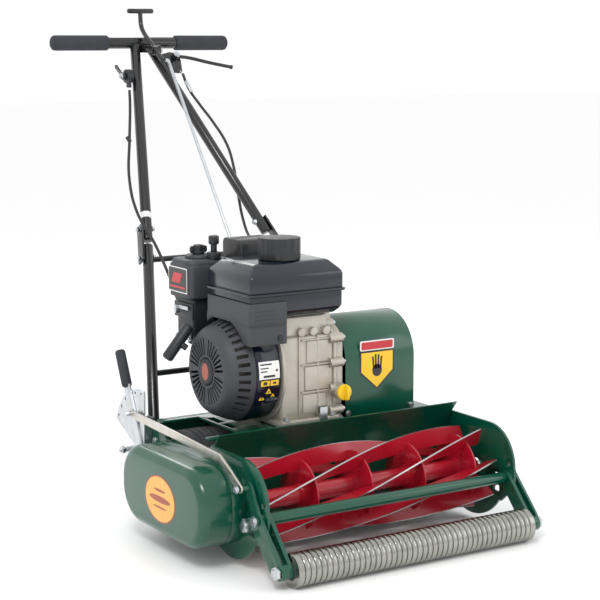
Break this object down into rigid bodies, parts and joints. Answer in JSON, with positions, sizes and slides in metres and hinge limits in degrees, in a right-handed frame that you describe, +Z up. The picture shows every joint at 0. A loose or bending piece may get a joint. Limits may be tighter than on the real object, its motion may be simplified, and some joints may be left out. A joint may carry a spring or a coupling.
{
  "type": "reel mower",
  "caption": "Petrol reel mower: helical cutting reel ahead of a rubber-faced drum, ribbed front roller, chain case, engine deck and a raked A-frame handle with foam grips.",
  "frame": {"origin": "on the ground under the middle of the whole mower", "axes": "+Z up, +Y from the front roller back to the handlebar, +X along the reel away from the chain case"},
  "size_m": [0.645, 1.0794, 0.9775],
  "materials": {
    "green_paint": "gloss",
    "red_paint": "gloss",
    "black_paint": "satin gloss",
    "black_plastic": "satin",
    "grip_foam": "matt foam",
    "black_rubber": "matt",
    "cast_aluminium": "as cast",
    "zinc_plate": "zinc plated",
    "bright_steel": "machined",
    "yellow_plastic": "gloss"
  },
  "bodies": {
    "chassis": {"side_plate_left": "green_paint", "side_plate_right": "green_paint", "tie_bar": "green_paint", "grass_shield": "green_paint", "bed_bar": "green_paint", "bed_knife": "bright_steel", "bed_plate": "green_paint", "chain_case": "green_paint", "chain_cover": "green_paint", "reel_chain": "bright_steel", "drum_chain": "bright_steel", "drive_belt": "black_rubber", "belt_guard": "green_paint", "crankcase": "cast_aluminium", "blower_housing": "black_plastic", "starter_cover": "black_plastic", "engine_shroud": "black_plastic", "fuel_tank": "black_paint", "air_cleaner": "black_plastic", "carburettor": "black_plastic", "muffler": "black_paint", "handle_upper": "black_paint", "handle_lower": "black_paint", "handle_clamp_left": "black_paint", "handle_clamp_right": "black_paint", "grip_left": "grip_foam", "grip_right": "grip_foam", "clutch_bracket": "black_paint", "throttle_housing": "black_plastic", "clutch_cable": "black_rubber", "throttle_cable": "black_rubber", "height_quadrant": "zinc_plate"},
    "reel": {"cutting_reel": "red_paint"},
    "drum": {"drum_sleeve": "black_rubber", "drum_core": "bright_steel"},
    "jackshaft": {"jackshaft": "bright_steel", "jackshaft_pulley": "bright_steel"},
    "crank": {"crankshaft": "bright_steel", "flywheel": "cast_aluminium", "engine_pulley": "bright_steel"},
    "starter_reel": {"starter_reel": "black_plastic"},
    "starter_handle": {"starter_handle": "black_plastic"},
    "height_lever": {"height_lever": "zinc_plate", "height_grip": "grip_foam"},
    "height_link": {"height_link": "zinc_plate"},
    "front_frame": {"roller_arm_left": "green_paint", "roller_arm_right": "green_paint", "roller_axle": "zinc_plate"},
    "front_roller": {"front_roller": "bright_steel"},
    "clamp_knob_left": {"clamp_knob_left": "zinc_plate"},
    "clamp_knob_right": {"clamp_knob_right": "zinc_plate"},
    "drive_lever": {"drive_lever": "black_paint"},
    "drive_rod": {"drive_rod": "zinc_plate"},
    "idler_arm": {"idler_arm": "zinc_plate"},
    "clutch_lever": {"clutch_lever": "black_paint"},
    "throttle_lever": {"throttle_lever": "black_paint"},
    "fuel_cap": {"fuel_cap": "black_plastic"},
    "dipstick": {"dipstick": "yellow_plastic"},
    "air_cleaner_knob": {"air_cleaner_knob": "black_plastic"},
    "choke_slide": {"choke_slide": "zinc_plate"}
  },
  "joints": [
    {"name": "drum_spin", "type": "hinge", "parent": "chassis", "child": "drum", "pos_m": [0.0335, -0.1177, 0.095], "axis": [1, 0, 0], "continuous": true},
    {"name": "reel_spin", "type": "hinge", "parent": "chassis", "child": "reel", "pos_m": [0.0335, -0.3477, 0.107], "axis": [1, 0, 0], "continuous": true},
    {"name": "jackshaft_spin", "type": "hinge", "parent": "chassis", "child": "jackshaft", "pos_m": [0.0335, -0.2247, 0.158], "axis": [1, 0, 0], "continuous": true},
    {"name": "crank_spin", "type": "hinge", "parent": "chassis", "child": "crank", "pos_m": [0.0335, -0.1647, 0.308], "axis": [1, 0, 0], "continuous": true},
    {"name": "starter_pull", "type": "slide", "parent": "chassis", "child": "starter_handle", "axis": [-0.6201, 0.5801, 0.5281], "range_m": [0, 0.5], "stiffness_N_per_m": 20},
    {"name": "starter_reel_spin", "type": "hinge", "parent": "chassis", "child": "starter_reel", "pos_m": [0.0335, -0.1647, 0.308], "axis": [1, 0, 0], "range_deg": [-5, 640]},
    {"name": "height_lever_swing", "type": "hinge", "parent": "chassis", "child": "height_lever", "pos_m": [0.0335, -0.0227, 0.144], "axis": [1, 0, 0], "range_deg": [-4.5, 10]},
    {"name": "front_frame_swing", "type": "hinge", "parent": "chassis", "child": "front_frame", "pos_m": [0.0335, -0.4417, 0.103], "axis": [1, 0, 0], "range_deg": [-8, 13.5]},
    {"name": "height_link_pivot", "type": "hinge", "parent": "height_lever", "child": "height_link", "pos_m": [0.0335, 0.0033, 0.206], "axis": [1, 0, 0], "range_deg": [-11, 7]},
    {"name": "front_roller_spin", "type": "hinge", "parent": "front_frame", "child": "front_roller", "pos_m": [0.0335, -0.5097, 0.03], "axis": [1, 0, 0], "continuous": true},
    {"name": "clamp_knob_left_turn", "type": "hinge", "parent": "front_frame", "child": "clamp_knob_left", "pos_m": [0.0335, -0.4097, 0.087], "axis": [1, 0, 0], "range_deg": [0, 360]},
    {"name": "clamp_knob_right_turn", "type": "hinge", "parent": "front_frame", "child": "clamp_knob_right", "pos_m": [0.0335, -0.4097, 0.087], "axis": [1, 0, 0], "range_deg": [0, 360]},
    {"name": "drive_lever_swing", "type": "hinge", "parent": "chassis", "child": "drive_lever", "pos_m": [0.0335, 0.4553, 0.887], "axis": [1, 0, 0], "range_deg": [0, 28]},
    {"name": "drive_rod_pull", "type": "slide", "parent": "chassis", "child": "drive_rod", "axis": [0.0117, -0.5778, -0.8161], "range_m": [-0.0085, 0.0002]},
    {"name": "idler_arm_swing", "type": "hinge", "parent": "chassis", "child": "idler_arm", "pos_m": [0.0335, -0.0637, 0.25], "axis": [1, 0, 0], "range_deg": [-12, 0.5]},
    {"name": "clutch_lever_squeeze", "type": "hinge", "parent": "chassis", "child": "clutch_lever", "pos_m": [0.1035, 0.4993, 0.871], "axis": [0, -0.8013, 0.5982], "range_deg": [0, 20], "stiffness_Nm_per_rad": 0.5},
    {"name": "throttle_lever_swing", "type": "hinge", "parent": "chassis", "child": "throttle_lever", "pos_m": [0.0335, 0.4653, 0.832], "axis": [1, 0, 0], "range_deg": [-35, 35]},
    {"name": "fuel_cap_turn", "type": "hinge", "parent": "chassis", "child": "fuel_cap", "pos_m": [-0.0585, -0.2097, 0.53], "axis": [0, 0, 1], "range_deg": [0, 90]},
    {"name": "dipstick_turn", "type": "hinge", "parent": "chassis", "child": "dipstick", "pos_m": [0.0455, -0.2697, 0.262], "axis": [0, -1, 0], "range_deg": [0, 360]},
    {"name": "air_cleaner_knob_turn", "type": "hinge", "parent": "chassis", "child": "air_cleaner_knob", "pos_m": [-0.1325, -0.0357, 0.515], "axis": [0, 0, 1], "range_deg": [0, 360]},
    {"name": "choke_slide_pull", "type": "slide", "parent": "chassis", "child": "choke_slide", "axis": [0, 1, 0], "range_m": [0, 0.02]}
  ],
  "couplings": [
    {"joint": "jackshaft_spin", "follows": "drum_spin", "ratio": 3.2},
    {"joint": "reel_spin", "follows": "drum_spin", "ratio": 3.8957},
    {"joint": "front_frame_swing", "follows": "height_lever_swing", "ratio": 1.2554},
    {"joint": "height_link_pivot", "follows": "height_lever_swing", "ratio": -1.0271},
    {"joint": "starter_reel_spin", "follows": "starter_pull", "rad_per_m": 22.222},
    {"joint": "drive_rod_pull", "follows": "drive_lever_swing", "m_per_rad": -0.0164},
    {"joint": "idler_arm_swing", "follows": "drive_lever_swing", "ratio": -0.4153}
  ]
}
